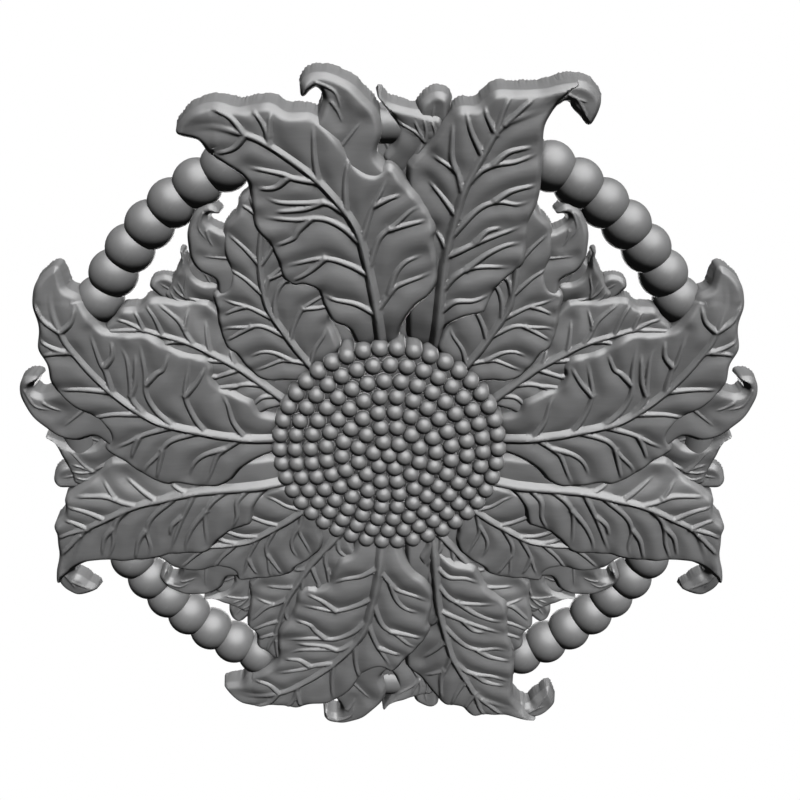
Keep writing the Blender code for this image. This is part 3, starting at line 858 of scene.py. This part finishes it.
def grain_group():
    """Wood grain that shows through the paint, and the paint's own fine tooth."""
    group, entry, leave = new_group(
        GRAIN_NAME,
        (("Grain Scale", "NodeSocketFloat", 60.0), ("Squeeze", "NodeSocketVector", (6, 6, 1)),
         ("Tooth Scale", "NodeSocketFloat", 900.0)),
        (("Grain", "NodeSocketFloat"), ("Patches", "NodeSocketFloat"),
         ("Height", "NodeSocketFloat")))
    place = node(group, "ShaderNodeTexCoord")
    squeezed = node(group, "ShaderNodeVectorMath", operation="MULTIPLY", links=(
        (0, place.outputs["Object"]), (1, entry.outputs["Squeeze"])))
    lines = node(group, "ShaderNodeTexNoise", inputs=GRAIN_NOISE, links=(
        ("Vector", squeezed.outputs["Vector"]), ("Scale", entry.outputs["Grain Scale"])))
    patches = node(group, "ShaderNodeTexNoise", inputs=PATCH_NOISE, links=(
        ("Vector", place.outputs["Object"]),))
    tooth = node(group, "ShaderNodeTexNoise", inputs=TOOTH_NOISE, links=(
        ("Vector", place.outputs["Object"]), ("Scale", entry.outputs["Tooth Scale"])))
    height = node(group, "ShaderNodeMath", operation="MULTIPLY_ADD", inputs={1: TOOTH_SHARE},
                  links=((0, tooth.outputs["Fac"]), (2, lines.outputs["Fac"])))
    group.links.new(lines.outputs["Fac"], leave.inputs["Grain"])
    group.links.new(patches.outputs["Fac"], leave.inputs["Patches"])
    group.links.new(height.outputs[0], leave.inputs["Height"])
    return group


def blended(tree, share, first, second):
    """The colour of a socket blended into a plain one by a share."""
    mix = node(tree, "ShaderNodeMix", data_type="RGBA", links=(
        (MIX_SHARE, share), (MIX_FIRST, first)))
    mix.inputs[MIX_SECOND].default_value = (*second, 1)
    return mix.outputs[MIX_RESULT]


def paint_colour(tree, finish, rub, grained, wear_and_shade):
    """The paint's colour: toned by the grain, lighter where rubbed, with painted shade in the
    hollows.
    """
    tone = node(tree, "ShaderNodeMapRange", inputs={**NOISE_RANGE, **TONE_RANGE}, links=(
        ("Value", grained.outputs["Grain"]),))
    paint = node(tree, "ShaderNodeVectorMath", operation="SCALE", links=(
        ("Scale", tone.outputs["Result"]),))
    paint.inputs[0].default_value = finish.paint
    rubbed = node(tree, "ShaderNodeMath", operation="MULTIPLY", inputs={1: rub}, links=(
        (0, wear_and_shade.outputs["Rubbed"]),))
    lighter = blended(tree, rubbed.outputs[0], paint.outputs["Vector"], finish.rubbed)
    # Painted shade: the hollows are blended towards the dark colour
    return blended(tree, wear_and_shade.outputs["Painted Shade"], lighter, finish.painted_shade)


def paint_material(name, finish, look):
    """Satin grey paint over carved wood, rubbed on the edges, with painted shade in the hollows.
    """
    if name in bpy.data.materials:
        return bpy.data.materials[name]
    groups = bpy.data.node_groups
    # This group gives both the rubbed edges and the painted shade
    wear = groups.get(WEAR_AND_SHADE_NAME) or wear_and_shade_group()
    grain = groups.get(GRAIN_NAME) or grain_group()
    material = bpy.data.materials.new(name)
    material.use_nodes = True
    tree = material.node_tree
    shader = tree.nodes["Principled BSDF"]
    shader.inputs["Metallic"].default_value = 0.0
    shader.inputs["Specular IOR Level"].default_value = 0.5
    grained = node(tree, "ShaderNodeGroup", node_tree=grain, inputs={"Squeeze": look["squeeze"]})
    # Reach and shares of open sky for the painted shade in the hollows
    reach, start, end = look["hollows"]
    wear_and_shade = node(tree, "ShaderNodeGroup", node_tree=wear,
                inputs={"Hollow Reach": reach, "Hollow Start": start, "Hollow End": end},
                links=(("Grain", grained.outputs["Grain"]),))
    colour = paint_colour(tree, finish, look["rub"], grained, wear_and_shade)
    tree.links.new(colour, shader.inputs["Base Color"])
    satin = node(tree, "ShaderNodeMapRange", links=(("Value", grained.outputs["Patches"]),),
                 inputs={**NOISE_RANGE, "To Min": finish.roughness - SATIN_SMOOTHER,
                         "To Max": finish.roughness + SATIN_ROUGHER})
    tree.links.new(satin.outputs["Result"], shader.inputs["Roughness"])
    bump = node(tree, "ShaderNodeBump", inputs=GRAIN_BUMP, links=(
        ("Height", grained.outputs["Height"]),))
    tree.links.new(bump.outputs["Normal"], shader.inputs["Normal"])
    return material


class ROSETTE_OT_leaf_sprays(bpy.types.Operator):
    """Carve the eight sprays of acanthus leaves"""
    bl_idname = "rosette.leaf_sprays"
    bl_label = "Leaf sprays"

    def execute(self, context):
        scene = context.scene
        sizes = scene.rosette_sizes
        material = paint_material("painted leaves", scene.rosette_finish, LEAF_PAINT)
        leaves = [mesh_arrays(leaf_body(leaf, scene.rosette_carving)) for leaf in SPRAY]
        for number, name in enumerate(SPRAY_NAMES):
            parts = []
            for k, (points, faces) in enumerate(leaves):
                placed, mirrored = place_spray(points, number, sizes)
                stagger_underside(placed, k + len(SPRAY) * number)
                if name == "top":
                    lean_up(placed, SPRAY[k]["level"], sizes.top_lean / MM)
                parts.append((placed, faces[:, ::-1] if mirrored else faces))
            finished_piece("leaf_spray_" + name, *joined(parts), material)
        return {"FINISHED"}


class ROSETTE_OT_bead_ring(bpy.types.Operator):
    """Turn the ring of beads, plain where the leaves cover it"""
    bl_idname = "rosette.bead_ring"
    bl_label = "Bead ring"

    def execute(self, context):
        scene = context.scene
        sizes = scene.rosette_sizes
        material = paint_material("painted beads", scene.rosette_finish, BEAD_PAINT)
        radius = sizes.ring_radius / MM
        parts = [bead_body(bead, radius, sizes.bead_radius / MM)
                 for bead in range(BEADS) if bead_in_view(bead)]
        parts.append(plain_ring(radius, sizes.plain_ring_radius / MM))
        finished_piece("bead_ring", *joined(parts), material)
        return {"FINISHED"}


def bead_in_view(bead):
    """Whether a bead shows between the sprays."""
    from_top = min(bead, BEADS - bead)
    return any(first <= from_top <= last for first, last in BEADS_IN_VIEW)


def bead_body(bead, ring_radius, radius):
    """One bead in its place on the ring, cut flat at the back."""
    angle = math.tau * bead / BEADS
    centre = (ring_radius * math.sin(angle), 0.0, ring_radius * math.cos(angle))
    back = BACK_DEPTH + BEAD_BACKS[bead % 2]
    return ball(centre, radius, BEAD_SEGMENTS, BEAD_ROWS, back)


def plain_ring(ring_radius, section):
    """The ring's plain core: round in front and flat behind."""
    half_arc = math.pi - math.acos(-BACK_DEPTH / section)
    stations = BEADS * PLAIN_RING_SECTIONS
    points = []
    for station in range(stations):
        angle = math.tau * station / stations
        for k in range(PLAIN_RING_SIDES):
            turn = math.pi + half_arc * (2 * k / (PLAIN_RING_SIDES - 1) - 1)
            out = ring_radius + section * math.sin(turn)
            depth = -section * math.cos(turn)
            points.append((out * math.sin(angle), -depth, out * math.cos(angle)))
    faces = []
    for station in range(stations):
        here = station * PLAIN_RING_SIDES
        there = (station + 1) % stations * PLAIN_RING_SIDES
        for k in range(PLAIN_RING_SIDES):
            after = (k + 1) % PLAIN_RING_SIDES
            faces.append((here + k, here + after, there + after, there + k))
    return np.array(points), faces


class ROSETTE_OT_seed_head(bpy.types.Operator):
    """Carve the domed seed head"""
    bl_idname = "rosette.seed_head"
    bl_label = "Seed head"

    def execute(self, context):
        scene = context.scene
        head = scene.rosette_seed_head
        material = paint_material("painted seeds", scene.rosette_finish, SEED_PAINT)
        reach = head.radius / MM
        top, rim = head.top / MM, head.rim / MM
        parts = []
        for x, z, ring in seed_places(reach):
            depth = top - (top - rim) * (ring / SEED_RINGS) ** 2
            parts.append(seed_body((x, depth, z), head.seed_radius / MM, ring == SEED_RINGS))
        parts.append(round_ground(head.ground_radius / MM, head.ground_depth / MM))
        parts.append(dome(reach, top, rim, head.skin_drop / MM))
        finished_piece("seed_head", *joined(parts), material)
        return {"FINISHED"}


def seed_body(centre, radius, outermost):
    """One seed: sunk in the dome, or at its rim drawn straight back into the round ground."""
    depth = centre[1]
    if not outermost:
        return ball(centre, radius, SEED_SEGMENTS, SEED_ROWS, depth - radius * SEED_SUNK_SHARE)
    points, _ = ball(centre, radius, SEED_SEGMENTS, SEED_ROWS, depth)
    stem = points[-SEED_SEGMENTS:].copy()
    stem[:, 1] = -STEM_END
    return np.vstack((points, stem)), rows_to_faces(SEED_ROWS + 1, SEED_SEGMENTS)


def round_ground(radius, depth):
    """The round ground behind the leaves' feet, with a softened edge."""
    rings = [(radius - inward, depth - behind) for inward, behind in GROUND_EDGE]
    rings.append((radius, BACK_DEPTH))
    points = [(0.0, -depth, 0.0)]
    for out, level in rings:
        points += circle(out, level, DOME_SIDES)
    return np.array(points), rows_to_faces(len(rings), DOME_SIDES)


def dome(reach, top, rim, drop):
    """The dome under the seeds, with an upright side."""
    points = [(0.0, -(top - drop), 0.0)]
    for row in range(1, DOME_ROWS + 1):
        depth = top - drop - (top - rim) * (row / DOME_ROWS) ** 2
        points += circle(reach * row / DOME_ROWS, depth, DOME_SIDES)
    points += circle(reach, DOME_END, DOME_SIDES)
    return np.array(points), rows_to_faces(DOME_ROWS + 1, DOME_SIDES)


def white_backdrop(light):
    """A world that looks white but hardly lights the rosette."""
    world = bpy.data.worlds.new("studio")
    bpy.context.scene.world = world
    world.use_nodes = True
    tree = world.node_tree
    background = tree.nodes["Background"]
    seen = node(tree, "ShaderNodeLightPath")
    strength = node(tree, "ShaderNodeMapRange", inputs={"To Min": light, "To Max": 1.0},
                    links=(("Value", seen.outputs["Is Camera Ray"]),))
    background.inputs["Color"].default_value = (1, 1, 1, 1)
    tree.links.new(strength.outputs["Result"], background.inputs["Strength"])


def pale_floor(drop, half):
    """A white floor that shines evenly and doesn't light the rosette."""
    mesh = bpy.data.meshes.new("floor")
    corners = [(-half, -half), (half, -half), (half, half), (-half, half)]
    mesh.from_pydata([(x, y, -drop) for x, y in corners], [], [(0, 1, 2, 3)])
    material = bpy.data.materials.new("pale floor")
    material.use_nodes = True
    shader = material.node_tree.nodes["Principled BSDF"]
    shader.inputs["Base Color"].default_value = (0, 0, 0, 1)
    shader.inputs["Specular IOR Level"].default_value = 0.0
    shader.inputs["Emission Color"].default_value = (1, 1, 1, 1)
    shader.inputs["Emission Strength"].default_value = 1.0
    mesh.materials.append(material)
    floor = bpy.data.objects.new("floor", mesh)
    bpy.context.scene.collection.objects.link(floor)
    floor.visible_diffuse = False
    floor.visible_glossy = False
    floor.visible_shadow = False


def add_sun(name, elevation, turn, strength, softness, shadows):
    """A soft sun lamp, at an elevation and turned from the front towards the right."""
    lamp = bpy.data.lights.new(name, "SUN")
    lamp.energy = strength
    lamp.angle = softness
    lamp.use_shadow = shadows
    holder = bpy.data.objects.new(name, lamp)
    bpy.context.scene.collection.objects.link(holder)
    level = math.cos(elevation)
    towards = Vector((level * math.sin(turn), -level * math.cos(turn), math.sin(elevation)))
    holder.rotation_euler = towards.to_track_quat("Z", "Y").to_euler()
    return holder


def studio_lights(look):
    """One sun that lights the paint, one seen as its sheen, and a weaker one for the back."""
    key = add_sun("key", look.key_elevation, look.key_turn, look.key_strength,
                  look.key_softness, shadows=False)
    key.visible_glossy = False
    sheen = add_sun("sheen", look.sheen_elevation, look.sheen_turn, look.sheen_strength,
                    look.sheen_softness, shadows=False)
    sheen.visible_diffuse = False
    add_sun("back", look.back_elevation, look.back_turn, look.back_strength,
            look.back_softness, shadows=True)


def photo_camera(lens, tilt, radius):
    """A camera above and in front of the rosette, tilted down at it."""
    camera = bpy.data.cameras.new("camera")
    camera.lens = lens
    camera.sensor_width = SENSOR_WIDTH
    holder = bpy.data.objects.new("camera", camera)
    bpy.context.scene.collection.objects.link(holder)
    away = Vector((0, -math.cos(tilt), math.sin(tilt)))
    above = Vector((0, math.sin(tilt), math.cos(tilt)))
    right = Vector((1, 0, 0))
    centre = Vector((0, BACK_DEPTH * MM, 0))
    steps = CAMERA_AWAY * away + CAMERA_UP * above + CAMERA_RIGHT * right
    holder.location = centre + radius * steps
    holder.rotation_euler = (math.pi / 2 - tilt, 0, 0)
    return holder


class ROSETTE_OT_stage(bpy.types.Operator):
    """Set the floor, the studio light and the camera"""
    bl_idname = "rosette.stage"
    bl_label = "Stage"

    def execute(self, context):
        scene = context.scene
        look = scene.rosette_stage
        scene.view_settings.view_transform = "Standard"
        white_backdrop(look.backdrop_light)
        pale_floor(look.floor_drop, look.floor_half)
        studio_lights(look)
        scene.camera = photo_camera(look.lens, look.camera_elevation,
                                    scene.rosette_sizes.ring_radius)
        return {"FINISHED"}


class ROSETTE_PT_panel(bpy.types.Panel):
    """The rosette's sizes and its steps"""
    bl_idname = "ROSETTE_PT_panel"
    bl_label = "Carved Rosette"
    bl_space_type = "VIEW_3D"
    bl_region_type = "UI"
    bl_category = "Rosette"

    def draw(self, context):
        for name in GROUPS:
            box = self.layout.box()
            group = getattr(context.scene, name)
            for key in group.bl_rna.properties.keys():
                if key not in ("rna_type", "name"):
                    box.prop(group, key)
        for step in OPERATORS:
            self.layout.operator(step.bl_idname)


GROUPS = {
    "rosette_sizes": RosetteSizes,
    "rosette_carving": LeafCarving,
    "rosette_seed_head": SeedHeadSizes,
    "rosette_finish": FinishColours,
    "rosette_stage": StageLook,
}
OPERATORS = (ROSETTE_OT_leaf_sprays, ROSETTE_OT_bead_ring, ROSETTE_OT_seed_head,
             ROSETTE_OT_stage)
CLASSES = (*GROUPS.values(), *OPERATORS, ROSETTE_PT_panel)


def register():
    """Add the classes and the scene's settings."""
    for cls in CLASSES:
        bpy.utils.register_class(cls)
    for name, group in GROUPS.items():
        setattr(bpy.types.Scene, name, PointerProperty(type=group))


def unregister():
    """Take them away again."""
    for name in GROUPS:
        delattr(bpy.types.Scene, name)
    for cls in reversed(CLASSES):
        bpy.utils.unregister_class(cls)


def main():
    """Build the rosette and its stage."""
    register()
    bpy.ops.rosette.leaf_sprays()
    bpy.ops.rosette.bead_ring()
    bpy.ops.rosette.seed_head()
    bpy.ops.rosette.stage()


if __name__ == "__main__":
    main()
